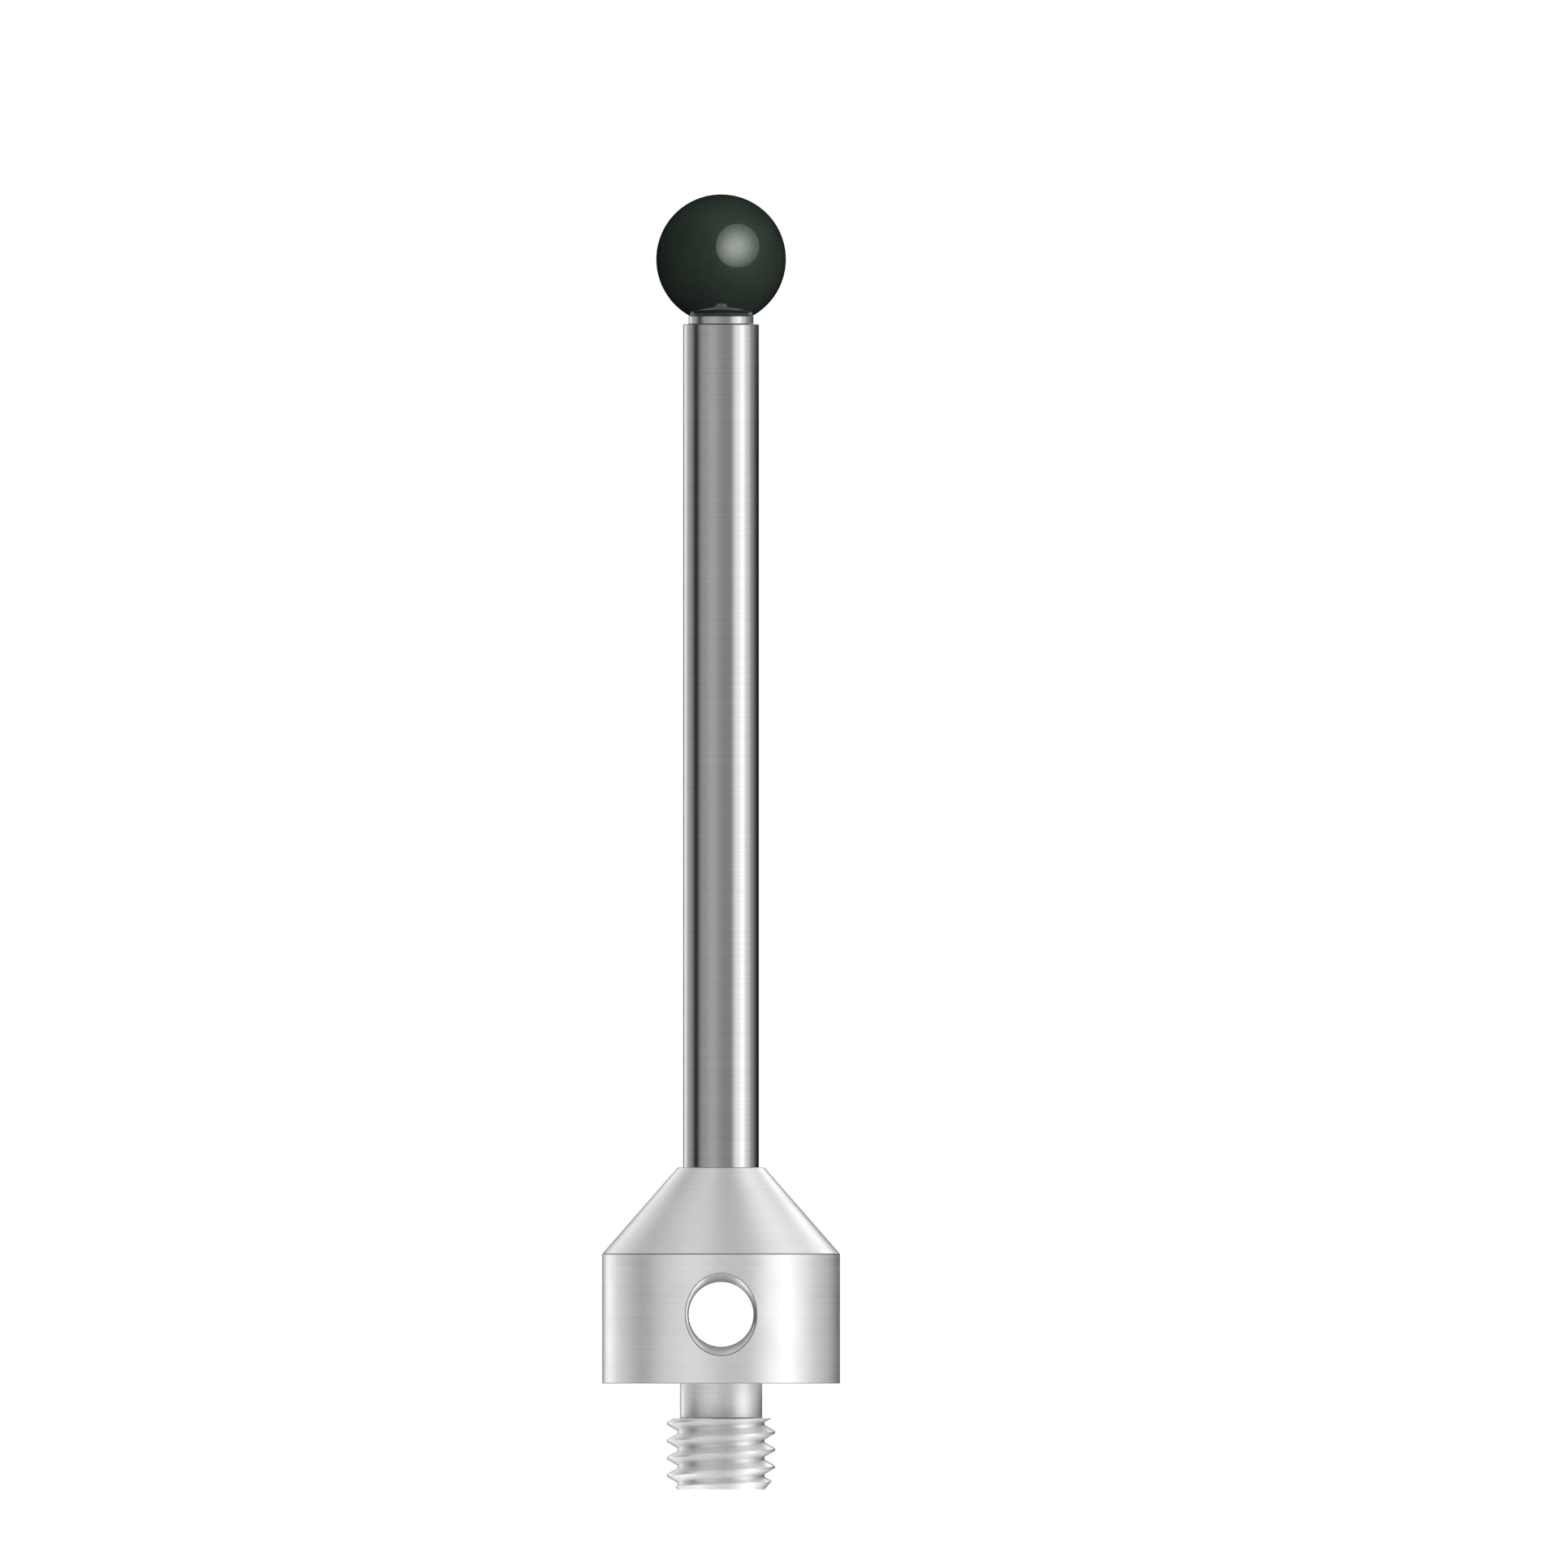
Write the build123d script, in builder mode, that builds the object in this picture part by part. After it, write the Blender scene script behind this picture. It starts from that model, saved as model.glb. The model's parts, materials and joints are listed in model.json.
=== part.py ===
from build123d import *

import os

# A ball stylus for a coordinate measuring machine.
# A ceramic ball is bonded in a cup at the top of a carbide stem. The stem is bonded in a steel
# holder, which ends in a screw for the probe and has a cross hole for the tightening pin.
# The origin is where the axis meets the holder's seat face, and +Z runs towards the ball.

# Driving dimensions, in millimetres and degrees
stylus_length = 55.0  # from the seat face to the top of the ball
ball_diameter = 6.0
stem_diameter = 3.5
neck_step = 0.25  # how far the neck under the ball lies inside the stem
bond_gap = 0.01  # room for adhesive around the stem and under the ball
foot_chamfer = 0.25

barrel_diameter = 11.0
barrel_length = 6.0
cone_length = 4.0
cone_top_wall = 0.25  # width of the flat ring around the stem
cross_hole_diameter = 3.0
cross_hole_height = 3.2  # of its axis above the seat face
countersink_width = 0.4  # how far each mouth spreads beyond the hole, where it touches the barrel
countersink_angle = 90.0
socket_floor = 0.9  # metal left between the stem's socket and the cross hole

thread_diameter = 5.0
thread_length = 2.75  # at full diameter
groove_length = 1.6  # plain groove between the seat face and the thread
groove_depth = 0.6
groove_fillet = 0.1
lead_in_length = 0.55
lead_in_depth = 0.5
recess_width = 0.5  # the seat face is cut back around the screw, this far beyond the thread
recess_depth = 0.1
edge_break = 0.05

# Sizes and heights that follow from them
ball_radius = ball_diameter / 2
stem_radius = stem_diameter / 2
neck_radius = stem_radius - neck_step
barrel_radius = barrel_diameter / 2
cone_top_radius = stem_radius + cone_top_wall
cross_hole_radius = cross_hole_diameter / 2
thread_radius = thread_diameter / 2
groove_radius = thread_radius - groove_depth
recess_radius = thread_radius + recess_width

ball_centre_height = stylus_length - ball_radius
shoulder_height = stylus_length - ball_diameter  # level with the ball's lowest point
holder_height = barrel_length + cone_length
stem_foot_height = cross_hole_height + cross_hole_radius + socket_floor
thread_top_height = -groove_length
lead_in_height = thread_top_height - thread_length
screw_end_height = lead_in_height - lead_in_length

os.makedirs("parts", exist_ok=True)


# Ball: a full sphere, held by its lowest part in the stem's cup
with BuildPart() as ball:
    with Locations((0, 0, ball_centre_height)):
        Sphere(ball_radius)

ball.part.label = "ball"
export_step(ball.part, "parts/ball.step")


# Stem: a ground rod whose narrower top end is hollowed to the ball's own curve
with BuildPart() as stem:
    with BuildSketch(Plane.XY.offset(stem_foot_height)):
        Circle(stem_radius)
    extrude(amount=shoulder_height - stem_foot_height)
    rod_rims = stem.edges().filter_by(GeomType.CIRCLE).sort_by(Axis.Z)
    chamfer(rod_rims[0], length=foot_chamfer)
    chamfer(rod_rims[-1], length=edge_break)

    # the neck starts as a plain peg that reaches the ball's centre, and the ball's form is cut from it
    with BuildSketch(Plane.XY.offset(shoulder_height)):
        Circle(neck_radius)
    extrude(amount=ball_radius)
    with Locations((0, 0, ball_centre_height)):
        Sphere(ball_radius + bond_gap, mode=Mode.SUBTRACT)

stem.part.label = "stem"
export_step(stem.part, "parts/stem.step")


# Holder: one turned piece with its cone, barrel, groove and screw end on one axis
with BuildPart() as holder:
    with BuildSketch(Plane.XZ):
        with BuildLine():
            Polyline(
                (0, holder_height),
                (cone_top_radius, holder_height),
                (barrel_radius, barrel_length),
                (barrel_radius, 0),
                (recess_radius, 0),
                (recess_radius, recess_depth),
                (groove_radius, recess_depth),
                (groove_radius, thread_top_height),
                (thread_radius, thread_top_height),
                (thread_radius, lead_in_height),
                (thread_radius - lead_in_depth, screw_end_height),
                (0, screw_end_height),
                close=True,
            )
        make_face()
    revolve(axis=Axis.Z)

    # the groove's inner corner is rounded, and the rim of the seat face is broken
    rims = holder.edges().filter_by(GeomType.CIRCLE)
    recess_rims = rims.filter_by_position(Axis.Z, recess_depth, recess_depth)
    seat_rims = rims.filter_by_position(Axis.Z, 0, 0)
    fillet(recess_rims.sort_by(SortBy.RADIUS)[0], radius=groove_fillet)
    chamfer(seat_rims.sort_by(SortBy.RADIUS)[-1], length=edge_break)

    # the blind socket takes the stem down to its foot
    with Locations((0, 0, holder_height)):
        Hole(stem_radius + bond_gap, depth=holder_height - stem_foot_height)

    # the cross hole goes right through the barrel, with a countersink at each mouth
    front_mouth = Plane(origin=(0, -barrel_radius, cross_hole_height), z_dir=(0, -1, 0))
    back_mouth = Plane(origin=(0, barrel_radius, cross_hole_height), z_dir=(0, 1, 0))
    with Locations(front_mouth, back_mouth):
        CounterSinkHole(
            cross_hole_radius,
            cross_hole_radius + countersink_width,
            counter_sink_angle=countersink_angle,
        )

holder.part.label = "holder"
export_step(holder.part, "parts/holder.step")
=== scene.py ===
import bpy
import json
import math
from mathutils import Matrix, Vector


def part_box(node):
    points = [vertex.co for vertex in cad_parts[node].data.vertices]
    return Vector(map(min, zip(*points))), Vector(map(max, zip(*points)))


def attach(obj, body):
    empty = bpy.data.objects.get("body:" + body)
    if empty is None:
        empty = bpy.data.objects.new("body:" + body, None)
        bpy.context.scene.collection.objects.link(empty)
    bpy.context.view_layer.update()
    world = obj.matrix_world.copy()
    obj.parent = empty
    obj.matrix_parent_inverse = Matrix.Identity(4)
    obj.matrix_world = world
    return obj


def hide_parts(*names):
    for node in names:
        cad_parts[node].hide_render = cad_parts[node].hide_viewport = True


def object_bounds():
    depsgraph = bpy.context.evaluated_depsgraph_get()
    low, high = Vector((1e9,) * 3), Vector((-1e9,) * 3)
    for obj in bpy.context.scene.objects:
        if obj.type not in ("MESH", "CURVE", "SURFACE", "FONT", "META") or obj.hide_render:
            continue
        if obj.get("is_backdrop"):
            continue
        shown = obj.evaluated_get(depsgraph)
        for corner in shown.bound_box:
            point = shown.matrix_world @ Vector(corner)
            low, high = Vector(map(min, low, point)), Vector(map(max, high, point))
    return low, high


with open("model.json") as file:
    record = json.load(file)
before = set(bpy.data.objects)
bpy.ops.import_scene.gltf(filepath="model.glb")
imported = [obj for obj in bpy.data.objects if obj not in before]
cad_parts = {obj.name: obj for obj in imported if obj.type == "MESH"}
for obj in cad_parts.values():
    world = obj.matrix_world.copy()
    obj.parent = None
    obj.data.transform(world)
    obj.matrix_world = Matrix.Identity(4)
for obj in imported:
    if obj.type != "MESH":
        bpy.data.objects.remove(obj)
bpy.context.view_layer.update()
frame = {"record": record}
mm = 0.001
print("the stylus frame is in")


# Small helpers for work at the bench

benchValues = {
    "weld": 0.001 * mm,  # points closer than this become one
    "weighScale": 1024,  # areas as small as these are taken for nothing, so a piece is weighed this large
}


def clearSelection():
    if bpy.context.mode != "OBJECT":
        bpy.ops.object.mode_set(mode="OBJECT")
    bpy.ops.object.select_all(action="DESELECT")


def pickUp(piece):
    clearSelection()
    piece.select_set(True)
    bpy.context.view_layer.objects.active = piece


def selectFaces(piece, wanted):
    # only the wanted faces are left selected, and the piece is left open in edit mode
    pickUp(piece)
    bpy.ops.object.mode_set(mode="EDIT")
    bpy.ops.mesh.select_mode(type="FACE")
    bpy.ops.mesh.select_all(action="DESELECT")
    bpy.ops.object.mode_set(mode="OBJECT")
    for face in piece.data.polygons:
        face.select = wanted(face)
    bpy.ops.object.mode_set(mode="EDIT")


def selectEdges(piece, wanted):
    pickUp(piece)
    bpy.ops.object.mode_set(mode="EDIT")
    bpy.ops.mesh.select_mode(type="EDGE")
    bpy.ops.mesh.select_all(action="DESELECT")
    bpy.ops.object.mode_set(mode="OBJECT")
    for edge in piece.data.edges:
        edge.select = wanted(edge)
    bpy.ops.object.mode_set(mode="EDIT")


def applyModifier(piece, kind, settings):
    pickUp(piece)
    modifier = piece.modifiers.new(kind.title(), kind)
    for key, value in settings.items():
        setattr(modifier, key, value)
    bpy.ops.object.modifier_apply(modifier=modifier.name)


def drawOutline(name, outline, closed=False):
    # one vertex is set down at the first point and extruded from point to point, as (radius, height)
    clearSelection()
    firstRadius, firstHeight = outline[0]
    bpy.ops.mesh.primitive_plane_add(size=mm, location=(firstRadius, 0, firstHeight))
    piece = bpy.context.object
    piece.name = name
    bpy.ops.object.mode_set(mode="EDIT")
    bpy.ops.mesh.select_mode(type="VERT")
    bpy.ops.mesh.merge(type="CENTER")
    for here, there in zip(outline, outline[1:]):
        step = (there[0] - here[0], 0, there[1] - here[1])
        bpy.ops.mesh.extrude_region_move(TRANSFORM_OT_translate={"value": step})
    if closed:
        bpy.ops.mesh.select_all(action="SELECT")
        bpy.ops.mesh.edge_face_add()
        bpy.ops.mesh.delete(type="ONLY_FACE")
    bpy.ops.object.mode_set(mode="OBJECT")
    bpy.ops.object.transform_apply(location=True, rotation=True, scale=True)
    return piece


def turnOutline(piece, steps):
    # the outline is spun once around the stylus axis, and its seam and poles are closed
    pickUp(piece)
    bpy.ops.object.mode_set(mode="EDIT")
    bpy.ops.mesh.select_all(action="SELECT")
    bpy.ops.mesh.spin(steps=steps, angle=math.tau, center=(0, 0, 0), axis=(0, 0, 1))
    bpy.ops.mesh.select_all(action="SELECT")
    bpy.ops.mesh.remove_doubles(threshold=benchValues["weld"])
    bpy.ops.mesh.normals_make_consistent(inside=False)
    bpy.ops.object.mode_set(mode="OBJECT")


def cutAway(piece, cutter):
    # the slivers that a cut leaves are merged away
    applyModifier(piece, "BOOLEAN", {"operation": "DIFFERENCE", "solver": "EXACT", "object": cutter})
    bpy.data.objects.remove(cutter)
    bpy.ops.object.mode_set(mode="EDIT")
    bpy.ops.mesh.select_all(action="SELECT")
    bpy.ops.mesh.remove_doubles(threshold=benchValues["weld"])
    bpy.ops.object.mode_set(mode="OBJECT")


def resizePiece(piece, factor):
    pickUp(piece)
    bpy.ops.transform.resize(value=(factor, factor, factor), center_override=(0, 0, 0))
    bpy.ops.object.transform_apply(location=True, rotation=True, scale=True)


def breakEdges(piece, values, slot):
    # every sharp edge gets a narrow bevel, whose faces go in a finish slot of their own, where a dark tone
    # paints a shade line along the edge
    applyModifier(piece, "BEVEL", {
        "limit_method": "ANGLE",
        "angle_limit": math.radians(values["edgeAngle"]),
        "width": values["edgeBreak"],
        "segments": values["edgeSegments"],
        "material": slot,
    })


def smoothTo(piece, degrees):
    # large faces keep their own direction right up to the small bevels beside them
    pickUp(piece)
    bpy.ops.object.shade_smooth_by_angle(angle=math.radians(degrees))
    resizePiece(piece, benchValues["weighScale"])
    applyModifier(piece, "WEIGHTED_NORMAL", {"mode": "FACE_AREA", "keep_sharp": True})
    resizePiece(piece, 1 / benchValues["weighScale"])


def addSlots(piece, count):
    # empty finish slots, which are filled when the piece is dressed
    for slot in range(count):
        piece.data.materials.append(None)


def arcPoints(centre, radius, fromDegrees, toDegrees, steps):
    # angles are measured from straight down
    points = []
    for i in range(steps + 1):
        angle = math.radians(fromDegrees + (toDegrees - fromDegrees) * i / steps)
        points.append((centre[0] + radius * math.sin(angle), centre[1] - radius * math.cos(angle)))
    return points


# Ball

ballValues = {
    "cuts": 47,  # across each side of the cube that is blown up to the ball
}
ballLow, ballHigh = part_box("ball")
ballRadius = (ballHigh.z - ballLow.z) / 2
ballHeight = (ballHigh.z + ballLow.z) / 2


def makeBall(values):
    # a cube cut fine and cast to a sphere has no poles, so its polish shows no pinch
    clearSelection()
    bpy.ops.mesh.primitive_cube_add(size=ballRadius * 2, location=(0, 0, ballHeight))
    ball = bpy.context.object
    ball.name = "tipBall"
    bpy.ops.object.mode_set(mode="EDIT")
    bpy.ops.mesh.select_all(action="SELECT")
    bpy.ops.mesh.subdivide(number_cuts=values["cuts"])
    bpy.ops.object.mode_set(mode="OBJECT")
    castSettings = {"cast_type": "SPHERE", "factor": 1.0, "use_radius_as_size": False, "size": ballRadius}
    applyModifier(ball, "CAST", castSettings)
    bpy.ops.object.transform_apply(location=True, rotation=True, scale=True)
    bpy.ops.object.shade_smooth()
    return ball


tipBall = makeBall(ballValues)
print("ball made")


# Stem

stemValues = {
    "neckStep": 0.25 * mm,
    "bondGap": 0.01 * mm,
    "footChamfer": 0.25 * mm,
    "edgeBreak": 0.035 * mm,
    "edgeSegments": 2,
    "edgeAngle": 30,  # edges that turn by more than this are broken
    "smoothAngle": 40,
    "cupSteps": 14,
    "lengths": 14,  # stretches that the plain rod is divided into
    "turnSteps": 192,
}
stemSlots = {"ground": 0, "edges": 1}
stemLow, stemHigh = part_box("stem")
stemRadius = (stemHigh.x - stemLow.x) / 2
shoulderHeight = ballHeight - ballRadius


def makeStem(values):
    neckRadius = stemRadius - values["neckStep"]
    chamfer = values["footChamfer"]
    foot = stemLow.z
    outline = [(0, foot), (stemRadius - chamfer, foot), (stemRadius, foot + chamfer)]
    rodStart = foot + chamfer
    rodLength = shoulderHeight - rodStart
    for i in range(1, values["lengths"] + 1):
        outline.append((stemRadius, rodStart + rodLength * i / values["lengths"]))
    outline.append((neckRadius, shoulderHeight))
    cupRadius = ballRadius + values["bondGap"]
    cupRimAngle = math.degrees(math.asin(neckRadius / cupRadius))
    outline += arcPoints((0, ballHeight), cupRadius, cupRimAngle, 0, values["cupSteps"])
    stem = drawOutline("carbideStem", outline)
    turnOutline(stem, values["turnSteps"])
    addSlots(stem, len(stemSlots))
    breakEdges(stem, values, stemSlots["edges"])
    smoothTo(stem, values["smoothAngle"])
    return stem


carbideStem = makeStem(stemValues)
print("stem turned")


# Holder

holderValues = {
    "barrelLength": 6.0 * mm,
    "coneTopWall": 0.25 * mm,
    "socketFloor": 5.6 * mm,
    "bondGap": 0.01 * mm,
    "grooveRadius": 1.9 * mm,
    "grooveLength": 1.6 * mm,
    "recessRadius": 3.0 * mm,
    "recessDepth": 0.1 * mm,
    "leadInLength": 0.55 * mm,
    "leadInDepth": 0.5 * mm,
    "countersinkWidth": 0.4 * mm,
    "edgeBreak": 0.04 * mm,
    "edgeSegments": 3,
    "edgeAngle": 30,  # turned edges that turn by more than this are broken
    "rimBreak": 0.035 * mm,
    "rimSegments": 2,
    "rimAngle": 25,  # and so are the rims round the cross hole that turn by more than this
    "smoothAngle": 30,
    "turnSteps": 256,
    "holeSteps": 128,
    "strips": 16,  # that its turned faces unfold into, each narrower than it is long
}
threadValues = {
    "pitch": 0.8 * mm,
    "depth": 0.49 * mm,
    "crestFlat": 0.1 * mm,
    "rootFlat": 0.13 * mm,
    "overshoot": 0.03 * mm,  # the tool's flanks run on past the crest by this much
    "toolBack": 0.15 * mm,  # and its back stands this far outside the crest
    "startBelow": 0.15 * mm,  # the groove begins this far below the screw's end, at the right
    "turns": 5.25,
    "turnSteps": 96,
}
holderSlots = {"turned": 0, "drilled": 1, "edges": 2}
holderLow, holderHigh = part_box("holder")
mounts = {mount["name"]: mount for mount in frame["record"]["mounts"]}
barrelRadius = (holderHigh.x - holderLow.x) / 2
threadRadius = mounts["thread"]["dims"]["r_mm"] * mm
holeRadius = mounts["cross_hole"]["dims"]["r_mm"] * mm
holeLength = mounts["cross_hole"]["dims"]["length_mm"] * mm
holeHeight = mounts["cross_hole"]["pos_m"][2]
mouthReach = holeRadius + holderValues["countersinkWidth"] * 1.2  # just past the rims of the countersinks


def makeHoleCutter(values):
    clearSelection()
    bpy.ops.mesh.primitive_cylinder_add(vertices=values["holeSteps"], radius=holeRadius, depth=holeLength,
                                        location=(0, 0, holeHeight), rotation=(math.radians(90), 0, 0))
    cutter = bpy.context.object
    bpy.ops.object.transform_apply(location=False, rotation=True, scale=True)
    # a right-angled cone runs out as far as it widens, here well past the barrel
    spread = values["countersinkWidth"] * 2
    wider = (holeRadius + spread) / holeRadius
    for side in (-1, 1):
        selectFaces(cutter, lambda face: face.normal.y * side > 0.9)
        bpy.ops.mesh.extrude_region_move(TRANSFORM_OT_translate={"value": (0, side * spread, 0)})
        bpy.ops.transform.resize(value=(wider, 1, wider), center_override=(0, 0, holeHeight))
    bpy.ops.object.mode_set(mode="OBJECT")
    return cutter


def breakHoleRims(holder, values):
    # the rims where the hole, its countersinks and the barrel meet are broken by a narrow bevel, whose
    # faces take the painted shade line of the edge slot
    pickUp(holder)
    bpy.ops.object.mode_set(mode="EDIT")
    bpy.ops.mesh.select_mode(type="EDGE")
    bpy.ops.mesh.select_all(action="DESELECT")
    bpy.ops.mesh.edges_select_sharp(sharpness=math.radians(values["rimAngle"]))
    bpy.ops.object.mode_set(mode="OBJECT")
    vertices = holder.data.vertices
    rims = []
    for edge in holder.data.edges:
        middle = (vertices[edge.vertices[0]].co + vertices[edge.vertices[1]].co) / 2
        fromHoleAxis = math.hypot(middle.x, middle.z - holeHeight)
        if edge.select and fromHoleAxis < mouthReach and abs(middle.y) > barrelRadius / 2:
            rims.append(edge.index)
    selectEdges(holder, lambda edge: edge.index in rims)
    bpy.ops.mesh.bevel(offset=values["rimBreak"], segments=values["rimSegments"], affect="EDGES",
                       material=holderSlots["edges"])
    bpy.ops.object.mode_set(mode="OBJECT")


def makeThreadCutter(thread):
    # the tool's section is a blunt V, which a screw modifier carries up the helix
    halfMouth = (thread["pitch"] - thread["crestFlat"]) / 2
    halfRoot = thread["rootFlat"] / 2
    slope = (halfMouth - halfRoot) / thread["depth"]
    halfBack = halfMouth + slope * thread["overshoot"]
    rootRadius = threadRadius - thread["depth"]
    backRadius = threadRadius + thread["overshoot"]
    outerRadius = threadRadius + thread["toolBack"]
    start = holderLow.z - thread["startBelow"]
    section = [(rootRadius, -halfRoot), (rootRadius, halfRoot), (backRadius, halfBack),
               (outerRadius, halfBack), (outerRadius, -halfBack), (backRadius, -halfBack)]
    section = [(radius, start + height) for radius, height in section]
    cutter = drawOutline("threadTool", section, closed=True)
    turns = thread["turns"]
    steps = round(thread["turnSteps"] * turns)
    screwSettings = {"axis": "Z", "angle": math.tau * turns, "screw_offset": thread["pitch"] * turns,
                     "steps": steps, "render_steps": steps, "use_merge_vertices": False}
    applyModifier(cutter, "SCREW", screwSettings)
    bpy.ops.object.mode_set(mode="EDIT")
    bpy.ops.mesh.select_all(action="SELECT")
    bpy.ops.mesh.fill_holes(sides=0)
    bpy.ops.mesh.select_all(action="SELECT")
    bpy.ops.mesh.normals_make_consistent(inside=False)
    bpy.ops.object.mode_set(mode="OBJECT")
    return cutter


def makeHolder(values, thread):
    coneTopRadius = stemRadius + values["coneTopWall"]
    socketRadius = stemRadius + values["bondGap"]
    top = holderHigh.z
    barrelTop = values["barrelLength"]
    grooveEnd = -values["grooveLength"]
    screwEnd = holderLow.z
    leadIn = screwEnd + values["leadInLength"]
    outline = [
        (0, values["socketFloor"]),
        (socketRadius, values["socketFloor"]),
        (socketRadius, top),
        (coneTopRadius, top),
        (barrelRadius, barrelTop),
        (barrelRadius, 0),
        (values["recessRadius"], 0),
        (values["recessRadius"], values["recessDepth"]),
        (values["grooveRadius"], values["recessDepth"]),
        (values["grooveRadius"], grooveEnd),
        (threadRadius, grooveEnd),
        (threadRadius, leadIn),
        (threadRadius - values["leadInDepth"], screwEnd),
        (0, screwEnd),
    ]
    holder = drawOutline("steelHolder", outline)
    turnOutline(holder, values["turnSteps"])
    addSlots(holder, len(holderSlots))
    breakEdges(holder, values, holderSlots["edges"])
    cutAway(holder, makeThreadCutter(thread))
    cutAway(holder, makeHoleCutter(values))
    breakHoleRims(holder, values)
    smoothTo(holder, values["smoothAngle"])
    return holder


steelHolder = makeHolder(holderValues, threadValues)
print("holder turned, threaded and drilled")

for piece, node in ((tipBall, "ball"), (carbideStem, "stem"), (steelHolder, "holder")):
    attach(piece, "root")
    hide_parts(node)
    print(piece.name, len(piece.data.vertices), len(piece.data.polygons))


# Materials

def newMaterial(name):
    material = bpy.data.materials.new(name)
    material.use_nodes = True
    nodes = material.node_tree.nodes
    nodes.clear()
    output = nodes.new("ShaderNodeOutputMaterial")
    shader = nodes.new("ShaderNodeBsdfPrincipled")
    material.node_tree.links.new(shader.outputs["BSDF"], output.inputs["Surface"])
    return material, shader


def newGroup(name, inputs, outputs):
    # an input without a value takes a place, and all others take a number
    group = bpy.data.node_groups.new(name, "ShaderNodeTree")
    for label, value in inputs.items():
        if value is None:
            group.interface.new_socket(label, in_out="INPUT", socket_type="NodeSocketVector")
        else:
            socket = group.interface.new_socket(label, in_out="INPUT", socket_type="NodeSocketFloat")
            socket.default_value = value
    for label in outputs:
        group.interface.new_socket(label, in_out="OUTPUT", socket_type="NodeSocketFloat")
    return group, group.nodes.new("NodeGroupInput"), group.nodes.new("NodeGroupOutput")


def addMath(tree, operation, first, second=None):
    node = tree.nodes.new("ShaderNodeMath")
    node.operation = operation
    for socket, value in zip(node.inputs, (first, second)):
        if isinstance(value, bpy.types.NodeSocket):
            tree.links.new(value, socket)
        elif value is not None:
            socket.default_value = value
    return node.outputs["Value"]


def addRange(tree, value, fromLow, fromHigh, toLow, toHigh, smooth=False):
    node = tree.nodes.new("ShaderNodeMapRange")
    node.interpolation_type = "SMOOTHSTEP" if smooth else "LINEAR"
    ends = {"From Min": fromLow, "From Max": fromHigh, "To Min": toLow, "To Max": toHigh}
    for label, number in ends.items():
        node.inputs[label].default_value = number
    tree.links.new(value, node.inputs["Value"])
    return node.outputs["Result"]


def addAverage(tree, first, second):
    return addMath(tree, "MULTIPLY", addMath(tree, "ADD", first, second), 0.5)


def addNoise(tree, dimensions, scale, detail, roughness=0.5):
    node = tree.nodes.new("ShaderNodeTexNoise")
    node.noise_dimensions = dimensions
    node.inputs["Scale"].default_value = scale
    node.inputs["Detail"].default_value = detail
    node.inputs["Roughness"].default_value = roughness
    return node


def scaleVector(tree, vector, factor):
    node = tree.nodes.new("ShaderNodeVectorMath")
    node.operation = "SCALE"
    node.inputs["Scale"].default_value = factor
    tree.links.new(vector, node.inputs["Vector"])
    return node.outputs["Vector"]


def joinVector(tree, values):
    node = tree.nodes.new("ShaderNodeCombineXYZ")
    for socket, value in zip(node.inputs, values):
        tree.links.new(value, socket)
    return node.outputs["Vector"]


noiseSpan = (0.35, 0.65)  # nearly all of a noise lies between these


def makeToolMarks():
    # marks that run round the axis of a cutting tool or a grinding wheel: fine rings, slow bands, and
    # streaks that are far longer round the axis than they are wide
    inputs = {"Place": None, "Rings per mm": 6.0, "Bands per mm": 0.8, "Band share": 0.4,
              "Streaks per mm": 1.0, "Streak share": 0.5}
    group, given, made = newGroup("toolMarks", inputs, ["Height", "Tone"])
    split = group.nodes.new("ShaderNodeSeparateXYZ")
    group.links.new(scaleVector(group, given.outputs["Place"], 1 / mm), split.inputs["Vector"])
    x, y, along = split.outputs
    squares = addMath(group, "ADD", addMath(group, "MULTIPLY", x, x), addMath(group, "MULTIPLY", y, y))
    out = addMath(group, "SQRT", squares)

    def inSteps(value, label):
        return addMath(group, "MULTIPLY", value, given.outputs[label])

    rings = addNoise(group, "2D", scale=1, detail=3, roughness=0.6)
    ringPlace = (inSteps(out, "Rings per mm"), inSteps(along, "Rings per mm"))
    group.links.new(joinVector(group, ringPlace), rings.inputs["Vector"])
    bands = addNoise(group, "2D", scale=1, detail=2)
    bandPlace = (inSteps(out, "Bands per mm"), inSteps(along, "Bands per mm"))
    group.links.new(joinVector(group, bandPlace), bands.inputs["Vector"])
    streaks = addNoise(group, "4D", scale=1, detail=2, roughness=0.6)
    streakPlace = (inSteps(x, "Streaks per mm"), inSteps(y, "Streaks per mm"), ringPlace[1])
    group.links.new(joinVector(group, streakPlace), streaks.inputs["Vector"])
    group.links.new(ringPlace[0], streaks.inputs["W"])
    banded = addMath(group, "MULTIPLY", bands.outputs["Fac"], given.outputs["Band share"])
    streaked = addMath(group, "MULTIPLY", streaks.outputs["Fac"], given.outputs["Streak share"])
    height = addMath(group, "ADD", rings.outputs["Fac"], addMath(group, "ADD", banded, streaked))
    group.links.new(height, made.inputs["Height"])
    shares = addMath(group, "ADD", given.outputs["Band share"], given.outputs["Streak share"])
    tone = addMath(group, "DIVIDE", height, addMath(group, "ADD", shares, 1))
    group.links.new(addRange(group, tone, *noiseSpan, 0, 1), made.inputs["Tone"])
    return group


handlingValues = {
    "filmSpan": (0.35, 0.7),
    "scratchTurn": (0.5, 0.9, 0.4),  # scratches run aslant
    "scratchStretch": (1, 0.06, 1),  # and are far longer than they are apart
    "scratchWidth": 0.006,
}


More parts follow.
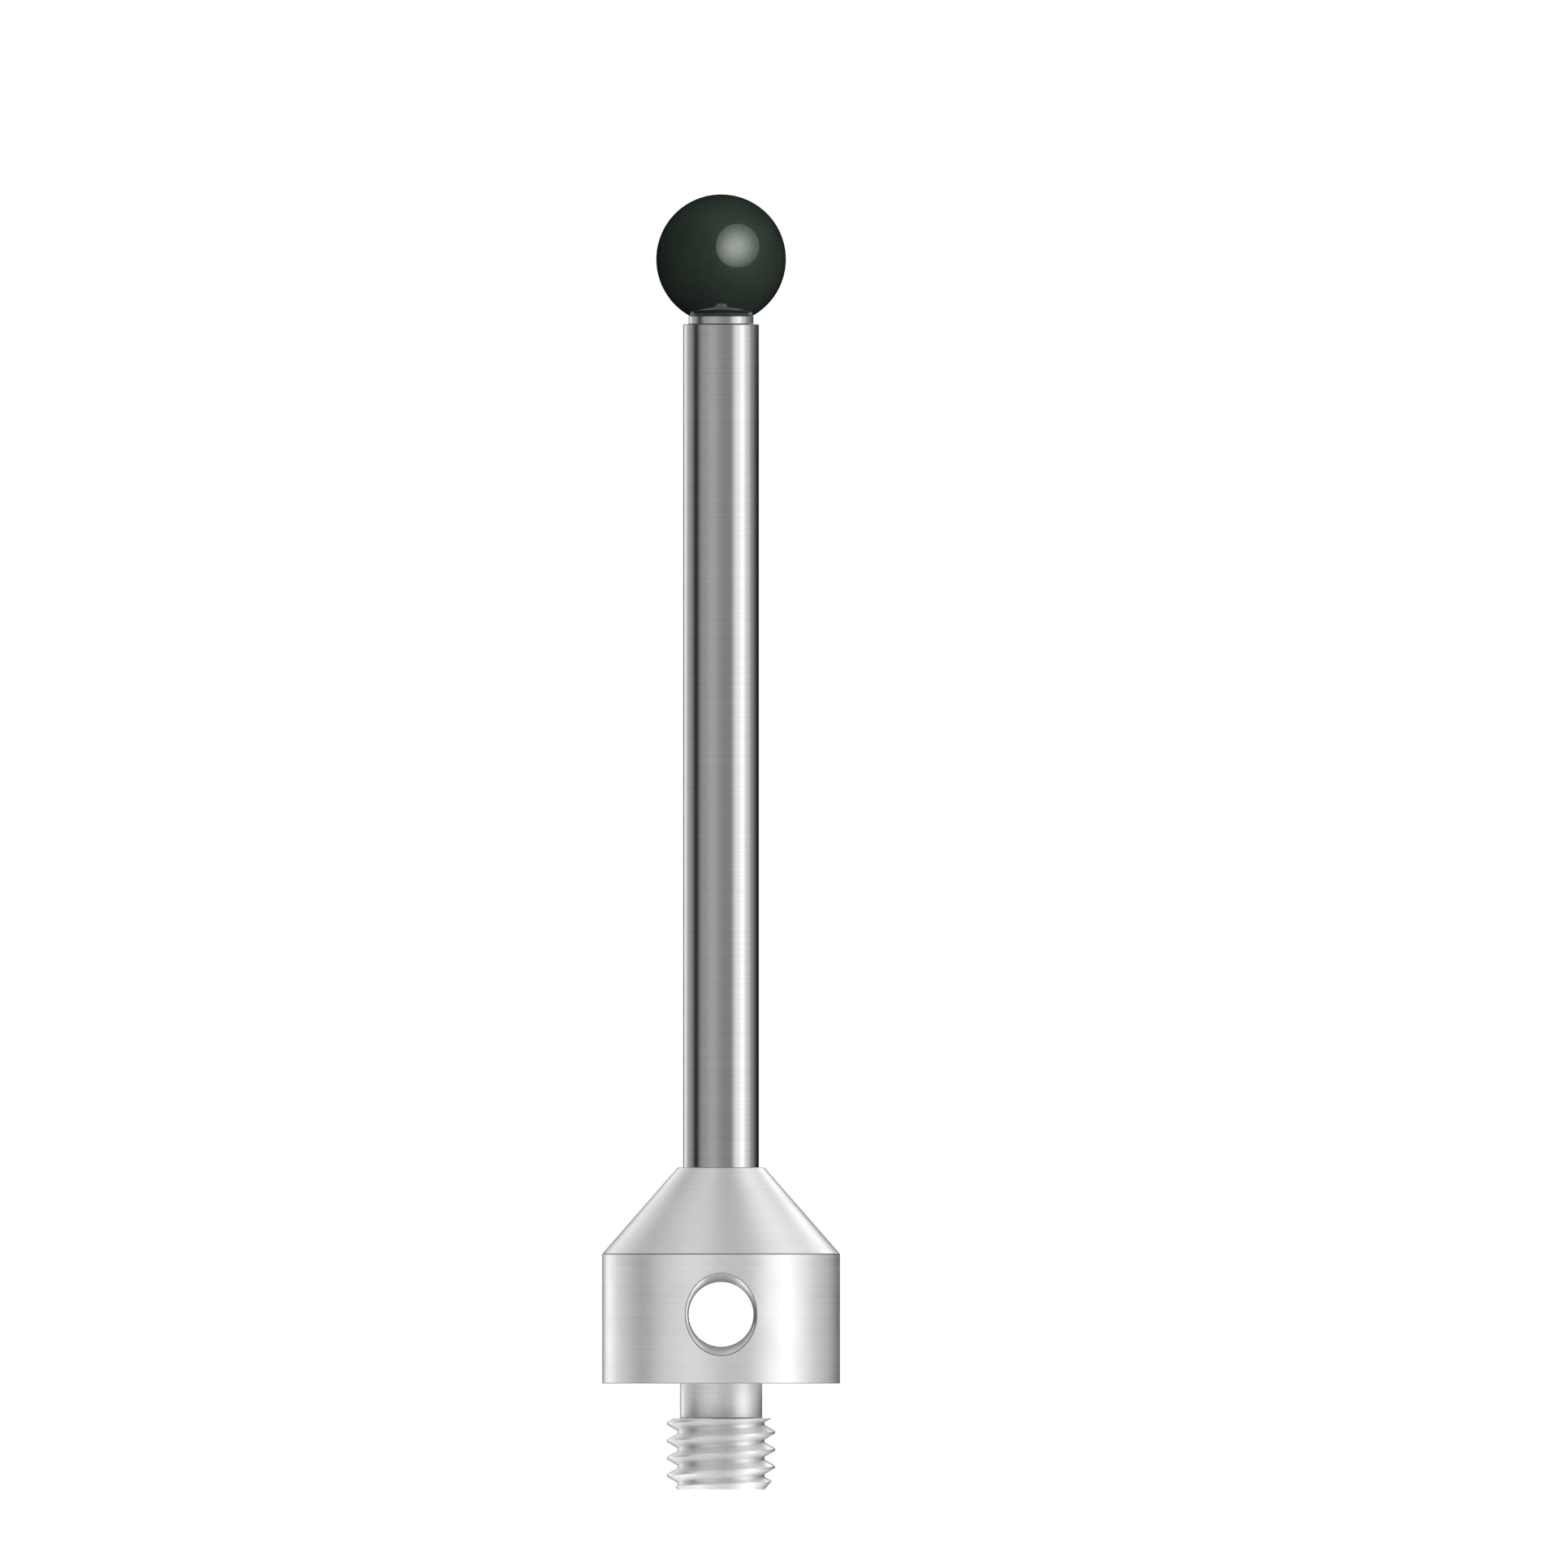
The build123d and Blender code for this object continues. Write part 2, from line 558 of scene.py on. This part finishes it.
def makeHandling(values):
    # a faint uneven film and a few hair scratches, as clean metal and ceramic pick up in use
    inputs = {"Patches per mm": 0.35, "Scratches per mm": 1.2}
    group, given, made = newGroup("handling", inputs, ["Film", "Scratch"])
    place = group.nodes.new("ShaderNodeTexCoord")
    inMillimetres = scaleVector(group, place.outputs["Object"], 1 / mm)
    film = addNoise(group, "3D", scale=1, detail=4, roughness=0.55)
    group.links.new(inMillimetres, film.inputs["Vector"])
    group.links.new(given.outputs["Patches per mm"], film.inputs["Scale"])
    filmMask = addRange(group, film.outputs["Fac"], *values["filmSpan"], 0, 1, smooth=True)
    group.links.new(filmMask, made.inputs["Film"])
    turned = group.nodes.new("ShaderNodeMapping")
    turned.inputs["Rotation"].default_value = values["scratchTurn"]
    turned.inputs["Scale"].default_value = values["scratchStretch"]
    group.links.new(inMillimetres, turned.inputs["Vector"])
    hair = addNoise(group, "3D", scale=1, detail=1)
    group.links.new(turned.outputs["Vector"], hair.inputs["Vector"])
    group.links.new(given.outputs["Scratches per mm"], hair.inputs["Scale"])
    fromMiddle = addMath(group, "ABSOLUTE", addMath(group, "SUBTRACT", hair.outputs["Fac"], 0.5))
    scratch = addRange(group, fromMiddle, 0, values["scratchWidth"], 1, 0, smooth=True)
    group.links.new(addMath(group, "MULTIPLY", scratch, film.outputs["Fac"]), made.inputs["Scratch"])
    return group


toolMarks = makeToolMarks()
handling = makeHandling(handlingValues)


def placeGroup(tree, group, settings):
    node = tree.nodes.new("ShaderNodeGroup")
    node.node_tree = group
    for label, value in settings.items():
        node.inputs[label].default_value = value
    return node


def addBump(tree, shader, height, distance):
    bump = tree.nodes.new("ShaderNodeBump")
    bump.inputs["Distance"].default_value = distance
    tree.links.new(height, bump.inputs["Height"])
    tree.links.new(bump.outputs["Normal"], shader.inputs["Normal"])


def addGrainDirection(tree, shader, anisotropy):
    # the grain runs round the stylus axis
    tangent = tree.nodes.new("ShaderNodeTangent")
    tangent.direction_type = "RADIAL"
    tangent.axis = "Z"
    tree.links.new(tangent.outputs["Tangent"], shader.inputs["Tangent"])
    shader.inputs["Anisotropic"].default_value = anisotropy
    shader.inputs["Anisotropic Rotation"].default_value = 0.25  # a quarter turn


def mixTones(tree, factor, low, high):
    mix = tree.nodes.new("ShaderNodeMix")
    mix.data_type = "RGBA"
    tree.links.new(factor, mix.inputs["Factor"])
    mix.inputs["A"].default_value = (*low, 1)
    mix.inputs["B"].default_value = (*high, 1)
    return mix.outputs["Result"]


steelValues = {
    "darkTone": (0.81, 0.81, 0.815),
    "lightTone": (0.89, 0.89, 0.895),
    "roughness": (0.46, 0.54),
    "anisotropy": 0.9,  # turning blurs reflections along the axis far more than around it
    "marks": {"Rings per mm": 11.0, "Bands per mm": 1.3, "Band share": 0.25, "Streaks per mm": 1.2,
              "Streak share": 0.6},
    "markDepth": 0.001 * mm,
    "handling": {"Patches per mm": 0.4, "Scratches per mm": 1.0},
}
drilledValues = {
    "darkTone": (0.78, 0.78, 0.785),
    "lightTone": (0.89, 0.89, 0.895),
    "roughness": (0.15, 0.25),
    "anisotropy": 0,
    "aroundHole": True,
    "marks": {"Rings per mm": 9.0, "Bands per mm": 1.0, "Band share": 0.4, "Streaks per mm": 2.0,
              "Streak share": 0.4},
    "markDepth": 0.0008 * mm,
    "handling": {"Patches per mm": 0.6, "Scratches per mm": 1.0},
}
# the bevels of the broken steel edges are painted far darker than the steel beside them: a painted shade
# line along each edge
steelShadeLineValues = {
    "darkTone": (0.3, 0.3, 0.305),
    "lightTone": (0.4, 0.4, 0.405),
    "roughness": (0.4, 0.5),
    "anisotropy": 0,
    "marks": {"Rings per mm": 9.0, "Bands per mm": 1.3, "Band share": 0.4, "Streaks per mm": 2.0,
              "Streak share": 0.6},
    "markDepth": 0.0006 * mm,
    "handling": {"Patches per mm": 0.4, "Scratches per mm": 1.0},
}
carbideValues = {
    "darkTone": (0.45, 0.455, 0.465),
    "lightTone": (0.495, 0.5, 0.51),
    "roughness": (0.09, 0.15),
    "anisotropy": 0,
    "marks": {"Rings per mm": 14.0, "Bands per mm": 0.5, "Band share": 0.2, "Streaks per mm": 1.6,
              "Streak share": 0.8},
    "markDepth": 0.0004 * mm,
    "handling": {"Patches per mm": 0.3, "Scratches per mm": 0.8},
}
# the bevels of the broken carbide edges are painted far darker than the carbide beside them: a painted
# shade line along each edge
carbideShadeLineValues = {
    "darkTone": (0.11, 0.11, 0.115),
    "lightTone": (0.16, 0.16, 0.165),
    "roughness": (0.3, 0.4),
    "anisotropy": 0,
    "marks": {"Rings per mm": 12.0, "Bands per mm": 0.5, "Band share": 0.3, "Streaks per mm": 2.0,
              "Streak share": 0.5},
    "markDepth": 0.0003 * mm,
    "handling": {"Patches per mm": 0.3, "Scratches per mm": 0.8},
}


def makeMetal(name, values):
    material, shader = newMaterial(name)
    tree = material.node_tree
    place = tree.nodes.new("ShaderNodeTexCoord").outputs["Object"]
    if values.get("aroundHole"):
        # the marks run round the cross hole instead of the stylus axis
        turned = tree.nodes.new("ShaderNodeMapping")
        turned.inputs["Location"].default_value = (0, holeHeight, 0)
        turned.inputs["Rotation"].default_value = (math.radians(90), 0, 0)
        tree.links.new(place, turned.inputs["Vector"])
        place = turned.outputs["Vector"]
    marks = placeGroup(tree, toolMarks, values["marks"])
    tree.links.new(place, marks.inputs["Place"])
    hands = placeGroup(tree, handling, values["handling"])
    tone = mixTones(tree, marks.outputs["Tone"], values["darkTone"], values["lightTone"])
    tree.links.new(tone, shader.inputs["Base Color"])
    smoothest, roughest = values["roughness"]
    uneven = addAverage(tree, marks.outputs["Tone"], hands.outputs["Film"])
    tree.links.new(addRange(tree, uneven, 0.1, 0.9, smoothest, roughest), shader.inputs["Roughness"])
    shader.inputs["Metallic"].default_value = 1
    if values["anisotropy"]:
        addGrainDirection(tree, shader, values["anisotropy"])
    scratched = addMath(tree, "SUBTRACT", marks.outputs["Height"], hands.outputs["Scratch"])
    addBump(tree, shader, scratched, values["markDepth"])
    return material


nitrideValues = {
    "darkTone": (0.0233, 0.0365, 0.0271),
    "lightTone": (0.0337, 0.0552, 0.0394),
    "grainPerMm": 5.0,
    "cloudPerMm": 0.5,
    "roughness": (0.05, 0.1),
    "refraction": 2.05,
    "glossTint": (0.92, 1.0, 0.94),
    "bloom": 0.6,  # a broad faint gloss round the highlight, from light scattered in the ceramic's grains
    "bloomRoughness": 0.6,
    "handling": {"Patches per mm": 0.5, "Scratches per mm": 0.9},
    "scratchDepth": 0.0002 * mm,
}


def makeNitride(name, values):
    material, shader = newMaterial(name)
    tree = material.node_tree
    place = tree.nodes.new("ShaderNodeTexCoord")
    grain = addNoise(tree, "3D", scale=values["grainPerMm"] / mm, detail=4, roughness=0.6)
    cloud = addNoise(tree, "3D", scale=values["cloudPerMm"] / mm, detail=2)
    for node in (grain, cloud):
        tree.links.new(place.outputs["Object"], node.inputs["Vector"])
    mottle = addAverage(tree, grain.outputs["Fac"], cloud.outputs["Fac"])
    mottle = addRange(tree, mottle, *noiseSpan, 0, 1)
    tone = mixTones(tree, mottle, values["darkTone"], values["lightTone"])
    tree.links.new(tone, shader.inputs["Base Color"])
    hands = placeGroup(tree, handling, values["handling"])
    smoothest, roughest = values["roughness"]
    uneven = addRange(tree, hands.outputs["Film"], 0, 1, smoothest, roughest)
    tree.links.new(uneven, shader.inputs["Roughness"])
    shader.inputs["IOR"].default_value = values["refraction"]
    shader.inputs["Specular Tint"].default_value = (*values["glossTint"], 1)
    shader.inputs["Coat Weight"].default_value = values["bloom"]
    shader.inputs["Coat Roughness"].default_value = values["bloomRoughness"]
    addBump(tree, shader, hands.outputs["Scratch"], values["scratchDepth"])
    return material


def dress(piece, materials):
    # a bevel has already put its faces in a slot of their own, so the slots are filled and not remade
    slots = piece.data.materials
    addSlots(piece, len(materials) - len(slots))
    for i, material in enumerate(materials):
        slots[i] = material


def sortHolderFaces(holder, values):
    # the cross hole and its countersinks keep the smoother finish of the drill, and the thread's bevels go
    # back to the turned finish, so the thread has no painted shade lines
    for face in holder.data.polygons:
        fromHoleAxis = math.hypot(face.center.x, face.center.z - holeHeight)
        fromAxis = math.hypot(face.center.x, face.center.y)
        inHole = fromHoleAxis < mouthReach and fromAxis < barrelRadius - values["rimBreak"] / 3
        if inHole and face.material_index == holderSlots["turned"]:
            face.material_index = holderSlots["drilled"]
        if face.center.z < -values["grooveLength"] - values["edgeBreak"]:
            face.material_index = holderSlots["turned"]


def markSeams(piece, strips):
    # seams run round each finish and, where there are strips, between them along the axis on the
    # main finish, so that the piece unfolds flat with nothing on top of anything else
    pickUp(piece)
    for slot in range(1, len(piece.data.materials)):
        selectFaces(piece, lambda face: face.material_index == slot)
        bpy.ops.mesh.region_to_loop()
        bpy.ops.mesh.mark_seam(clear=False)
    if strips:
        vertices = piece.data.vertices
        stripAngle = math.tau / strips
        mainFaces = [face for face in piece.data.polygons if face.material_index == 0]
        mainEdges = {key for face in mainFaces for key in face.edge_keys}

        def runsAlong(edge):
            ends = [vertices[index].co for index in edge.vertices]
            middle = ends[0] + ends[1]
            angle = round(math.atan2(middle.y, middle.x) / stripAngle) * stripAngle
            aside = [abs(end.x * math.sin(angle) - end.y * math.cos(angle)) for end in ends]
            return edge.key in mainEdges and max(aside) < benchValues["weld"]

        selectEdges(piece, runsAlong)
        bpy.ops.mesh.mark_seam(clear=False)
    # the empty map that came with the first plane or cube is dropped
    bpy.ops.mesh.uv_texture_remove()
    bpy.ops.object.mode_set(mode="OBJECT")


turnedSteel = makeMetal("turnedStainless", steelValues)
drilledSteel = makeMetal("drilledStainless", drilledValues)
steelShadeLineFinish = makeMetal("steelEdgeShadeLine", steelShadeLineValues)
groundCarbide = makeMetal("groundCarbide", carbideValues)
carbideShadeLineFinish = makeMetal("carbideEdgeShadeLine", carbideShadeLineValues)
polishedNitride = makeNitride("polishedNitride", nitrideValues)
sortHolderFaces(steelHolder, holderValues)
dress(steelHolder, [turnedSteel, drilledSteel, steelShadeLineFinish])
dress(carbideStem, [groundCarbide, carbideShadeLineFinish])
dress(tipBall, [polishedNitride])
for piece, strips in ((steelHolder, holderValues["strips"]), (carbideStem, 0), (tipBall, 0)):
    markSeams(piece, strips)
print("steel, carbide and nitride finishes on")


# Studio

def linkOnlyTo(source, name, receivers):
    # the source lights these pieces and nothing else
    receiverCollection = bpy.data.collections.new(name)
    for piece in receivers:
        receiverCollection.objects.link(piece)
    source.light_linking.receiver_collection = receiverCollection


def newGlow(name):
    material = bpy.data.materials.new(name)
    material.use_nodes = True
    tree = material.node_tree
    tree.nodes.clear()
    output = tree.nodes.new("ShaderNodeOutputMaterial")
    glow = tree.nodes.new("ShaderNodeEmission")
    tree.links.new(glow.outputs["Emission"], output.inputs["Surface"])
    place = tree.nodes.new("ShaderNodeTexCoord")
    return material, glow, place.outputs["Object"]


def addBands(tree, value, bands, low, high, peak):
    # a soft run of bright and dark bands, where the value runs from 0 at low to 1 at high
    ramp = tree.nodes.new("ShaderNodeValToRGB")
    ramp.color_ramp.interpolation = "EASE"
    stops = ramp.color_ramp.elements
    stops.remove(stops[1])
    for i, (place, level) in enumerate(bands):
        share = (place - low) / (high - low)
        stop = stops[0] if i == 0 else stops.new(share)
        stop.position = share
        stop.color = (level / peak,) * 3 + (1,)
    tree.links.new(value, ramp.inputs["Fac"])
    return addMath(tree, "MULTIPLY", ramp.outputs["Color"], peak)


def mixLevels(tree, factor, first, second):
    mix = tree.nodes.new("ShaderNodeMix")
    for label, value in (("Factor", factor), ("A", first), ("B", second)):
        if isinstance(value, bpy.types.NodeSocket):
            tree.links.new(value, mix.inputs[label])
        else:
            mix.inputs[label].default_value = value
    return mix.outputs["Result"]


def showOnlyInReflections(thing):
    thing.visible_camera = False
    thing.visible_diffuse = False
    thing.visible_transmission = False
    thing.visible_volume_scatter = False
    thing.visible_shadow = False


tentValues = {
    "radius": 250 * mm,
    "segments": 96,
    "rings": 48,
    "peak": 2.9,  # no band may be brighter than this
    # brightness of the tent's wall, by azimuth in degrees from the camera's side
    "wallBands": [(-180, 0.03), (-159, 0.1), (-148, 1.5), (-110, 0.57), (-82, 0.04), (-58, 0.54),
                  (-28, 0.71), (12, 0.44), (28, 0.44), (50, 1.55), (69, 2.15), (84, 1.25), (112, 0.41),
                  (130, 0.12), (145, 0.02), (180, 0.03)],
    # brightness that the wall's bands fade to above and below, by azimuth
    "highBands": [(-180, 1.25), (-130, 1.15), (-104, 0.95), (-82, 0.6), (-60, 0.8), (-30, 0.85), (10, 0.6),
                  (60, 0.65), (110, 0.8), (130, 2.1), (145, 2.8), (180, 2.8)],
    "lowBands": [(-180, 1.25), (-130, 1.35), (-104, 1.35), (-82, 1.1), (-60, 1.55), (-30, 1.8), (10, 1.3),
                 (60, 1.2), (110, 1.3), (130, 1.7), (145, 1.9), (180, 1.9)],
    # away from mid height the bands fade over these stretches, in tent radii, by these shares
    "fadeUp": (0.06, 0.35),
    "fadeUpShare": 0.85,
    "fadeDown": (0.1, 0.7),
    "fadeDownShare": 0.6,
    # brightness of its ceiling, by how far to the right it is, in tent radii
    "ceilingBands": [(-1, 0.72), (-0.6, 0.7), (-0.42, 0.9), (-0.25, 0.93), (0, 0.74), (0.25, 0.67),
                     (0.45, 0.78), (0.6, 1.1), (1, 1.1)],
    "ceilingFrom": (0.3, 0.65),  # the wall turns into the ceiling over this stretch
    # below, it brightens to a skirt and darkens again straight under the stylus
    "skirtLevel": 1.8,
    "skirtFrom": (-0.5, -0.85),
    "nadirLevel": 0.62,
    "nadirFrom": (-0.86, -0.97),
}


def makeTent(values):
    # a bright tent that only the metal reflects, with a dark flag at its left and a soft light at its right
    clearSelection()
    bpy.ops.mesh.primitive_uv_sphere_add(segments=values["segments"], ring_count=values["rings"],
                                         radius=values["radius"],
                                         location=(0, 0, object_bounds()[1].z / 2))
    tent = bpy.context.object
    tent.name = "lightTent"
    bpy.ops.object.shade_smooth()
    material, glow, place = newGlow("tentCloth")
    tree = material.node_tree
    turned = tree.nodes.new("ShaderNodeMapping")
    turned.inputs["Rotation"].default_value = (0, 0, math.radians(90))
    tree.links.new(place, turned.inputs["Vector"])
    around = tree.nodes.new("ShaderNodeTexGradient")
    around.gradient_type = "RADIAL"
    tree.links.new(turned.outputs["Vector"], around.inputs["Vector"])

    def bandsAround(label):
        return addBands(tree, around.outputs["Fac"], values[label], -180, 180, values["peak"])

    split = tree.nodes.new("ShaderNodeSeparateXYZ")
    tree.links.new(scaleVector(tree, place, 1 / values["radius"]), split.inputs["Vector"])
    height = split.outputs["Z"]
    upwards = addRange(tree, height, *values["fadeUp"], 0, values["fadeUpShare"], smooth=True)
    level = mixLevels(tree, upwards, bandsAround("wallBands"), bandsAround("highBands"))
    depth = addMath(tree, "MULTIPLY", height, -1)
    downwards = addRange(tree, depth, *values["fadeDown"], 0, values["fadeDownShare"], smooth=True)
    level = mixLevels(tree, downwards, level, bandsAround("lowBands"))
    across = addRange(tree, split.outputs["X"], -1, 1, 0, 1)
    ceiling = addBands(tree, across, values["ceilingBands"], -1, 1, values["peak"])
    overhead = addRange(tree, height, *values["ceilingFrom"], 0, 1, smooth=True)
    level = mixLevels(tree, overhead, level, ceiling)
    for part in ("skirt", "nadir"):
        below = addRange(tree, height, *values[part + "From"], 0, 1, smooth=True)
        level = mixLevels(tree, below, level, values[part + "Level"])
    tree.links.new(level, glow.inputs["Strength"])
    tent.data.materials.append(material)
    showOnlyInReflections(tent)
    linkOnlyTo(tent, "metalPieces", [carbideStem, steelHolder])
    tent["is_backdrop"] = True


def addSunLamp(name, values, energy, receivers):
    lampData = bpy.data.lights.new(name, "SUN")
    lampData.angle = math.radians(values["softness"])
    lampData.energy = energy
    lamp = bpy.data.objects.new(name, lampData)
    bpy.context.scene.collection.objects.link(lamp)
    lamp.rotation_euler = [math.radians(angle) for angle in values["turn"]]
    linkOnlyTo(lamp, name + "Pieces", receivers)
    return lamp


floorValues = {
    "size": 4000 * mm,
    "tone": 0.99,
    "roughness": 0.9,
    "level": 0.67,  # how bright its lamp alone would make a white floor
    "turn": (20, 15, 0),
    "softness": 50,
}


def makeFloor(values):
    clearSelection()
    bpy.ops.mesh.primitive_plane_add(size=values["size"], location=(0, 0, holderLow.z))
    floor = bpy.context.object
    floor.name = "floorSheet"
    material, shader = newMaterial("paleFloor")
    shader.inputs["Base Color"].default_value = (values["tone"],) * 3 + (1,)
    shader.inputs["Roughness"].default_value = values["roughness"]
    shader.inputs["Specular IOR Level"].default_value = 0
    floor.data.materials.append(material)
    floor.visible_glossy = False
    floor.visible_diffuse = False
    floor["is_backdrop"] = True
    slant = math.prod(math.cos(math.radians(angle)) for angle in values["turn"])
    addSunLamp("floorLamp", values, values["level"] * math.pi / slant, [floor])


# half angles are how large each lamp looks from the ball, and the catch lamp is an oval so that its
# reflection comes out round
keyLampValues = {
    "azimuth": 31.0,
    "elevation": 24.5,
    "roll": 0,
    "distance": 180 * mm,
    "halfAngles": (38.0, 38.0),
    "level": 0.64,
}
catchLampValues = {
    "azimuth": 33.0,
    "elevation": 24.2,
    "roll": 32.0,
    "distance": 175 * mm,
    "halfAngles": (41.4, 36.3),
    "brightest": (0.44, 0.5, 0),  # where on it, as shares of its width and height
    "centreLevel": 2.6,
    "rimLevel": 0.56,
}
backLampValues = {
    "level": 0.4,
    "turn": (75, 0, 205),
    "softness": 60,
}


def addOvalLamp(name, values, brightness):
    # an oval lamp that faces the ball's middle
    azimuth = math.radians(values["azimuth"])
    elevation = math.radians(values["elevation"])
    distance = values["distance"]
    halfWidth, halfHeight = [distance * math.tan(math.radians(angle)) for angle in values["halfAngles"]]
    lampData = bpy.data.lights.new(name, "AREA")
    lampData.shape = "ELLIPSE"
    lampData.size = halfWidth * 2
    lampData.size_y = halfHeight * 2
    lampData.energy = brightness * math.pi * math.pi * halfWidth * halfHeight
    lamp = bpy.data.objects.new(name, lampData)
    bpy.context.scene.collection.objects.link(lamp)
    flat = distance * math.cos(elevation)
    height = ballHeight + distance * math.sin(elevation)
    lamp.location = (flat * math.sin(azimuth), -flat * math.cos(azimuth), height)
    lamp.rotation_euler = (math.radians(90) - elevation, 0, azimuth)
    lamp.rotation_euler.rotate_axis("Z", math.radians(values["roll"]))
    linkOnlyTo(lamp, name + "Pieces", [tipBall])
    return lamp


def makeKeyLamp(values):
    # shades the ball and isn't seen in it, and lights a white face towards it to its level
    filledShare = math.sin(math.radians(values["halfAngles"][0])) ** 2
    lamp = addOvalLamp("keyLamp", values, values["level"] / filledShare)
    lamp.visible_glossy = False


def makeCatchLamp(values):
    # just before the key lamp, brightest near its middle, and only reflected in the ball
    lamp = addOvalLamp("catchLamp", values, 1)
    lamp.visible_diffuse = False
    lamp.data.use_nodes = True
    tree = lamp.data.node_tree
    where = tree.nodes.new("ShaderNodeNewGeometry")
    away = tree.nodes.new("ShaderNodeVectorMath")
    away.operation = "DISTANCE"
    away.inputs[1].default_value = values["brightest"]
    tree.links.new(where.outputs["Parametric"], away.inputs[0])
    level = addRange(tree, away.outputs["Value"], 0, 0.5, values["centreLevel"], values["rimLevel"],
                     smooth=True)
    tree.links.new(level, tree.nodes["Emission"].inputs["Strength"])


def makeBackLamp(values):
    # the far side of the ball gets a little light, so that its green shows from behind too
    lamp = addSunLamp("backLamp", values, values["level"] * math.pi, [tipBall])
    lamp.visible_glossy = False


worldValues = {
    "ambient": 0.33,  # light that the white background gives to all else
}


def makeWorld(values):
    # the background is plain white to the eye and in reflections, and gives a softer light to the rest
    world = bpy.data.worlds.new("studio")
    world.use_nodes = True
    tree = world.node_tree
    tree.nodes.clear()
    output = tree.nodes.new("ShaderNodeOutputWorld")
    backdrop = tree.nodes.new("ShaderNodeBackground")
    backdrop.inputs["Color"].default_value = (1, 1, 1, 1)
    tree.links.new(backdrop.outputs["Background"], output.inputs["Surface"])
    rays = tree.nodes.new("ShaderNodeLightPath")
    seen = addMath(tree, "MAXIMUM", rays.outputs["Is Camera Ray"], rays.outputs["Is Glossy Ray"])
    seen = addMath(tree, "MAXIMUM", seen, rays.outputs["Is Transmission Ray"])
    tree.links.new(addRange(tree, seen, 0, 1, values["ambient"], 1), backdrop.inputs["Strength"])
    bpy.context.scene.world = world


makeTent(tentValues)
makeFloor(floorValues)
makeKeyLamp(keyLampValues)
makeCatchLamp(catchLampValues)
makeBackLamp(backLampValues)
makeWorld(worldValues)
print("tent, floor and lamps up")


# Camera

cameraValues = {
    "pictureWidth": 72.52 * mm,
    "aim": (2.91 * mm, 0, 27.73 * mm),
    "distance": 400 * mm,
    "clip": (10 * mm, 5000 * mm),
}


def makeCamera(values):
    camera = bpy.data.objects.new("viewCamera", bpy.data.cameras.new("viewCamera"))
    bpy.context.scene.collection.objects.link(camera)
    camera.data.type = "ORTHO"
    camera.data.ortho_scale = values["pictureWidth"]
    camera.data.clip_start, camera.data.clip_end = values["clip"]
    x, y, z = values["aim"]
    camera.location = (x, y - values["distance"], z)
    camera.rotation_euler = (math.radians(90), 0, 0)
    bpy.context.scene.camera = camera


makeCamera(cameraValues)

bpy.context.scene.view_settings.view_transform = "Standard"
